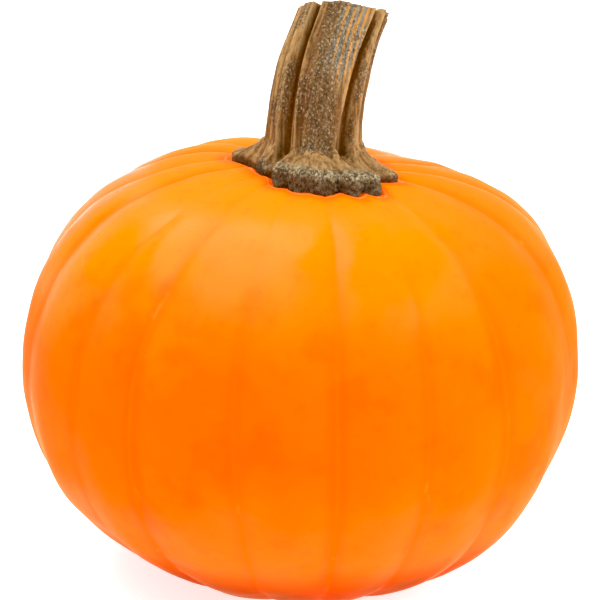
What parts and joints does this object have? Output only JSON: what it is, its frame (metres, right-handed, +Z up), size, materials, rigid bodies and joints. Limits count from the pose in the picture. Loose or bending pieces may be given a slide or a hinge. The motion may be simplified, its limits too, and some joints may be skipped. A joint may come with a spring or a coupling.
{
  "type": "pumpkin",
  "caption": "Small round orange pumpkin with shallow ribs and a short ridged woody stalk, standing upright on its blossom end.",
  "frame": {"origin": "on the surface the fruit rests on, under the middle of the part's box", "axes": "+Z up, -Y the front as pictured, +X to the right of that view"},
  "size_m": [0.1606, 0.1593, 0.1698],
  "materials": {
    "rind": "waxy satin rind, deep orange, yellower towards the crown",
    "stalk": "dry matte corky fibre, olive brown with pale flecks"
  },
  "bodies": {
    "root": {"fruit": "rind", "stalk": "stalk"}
  },
  "joints": []
}
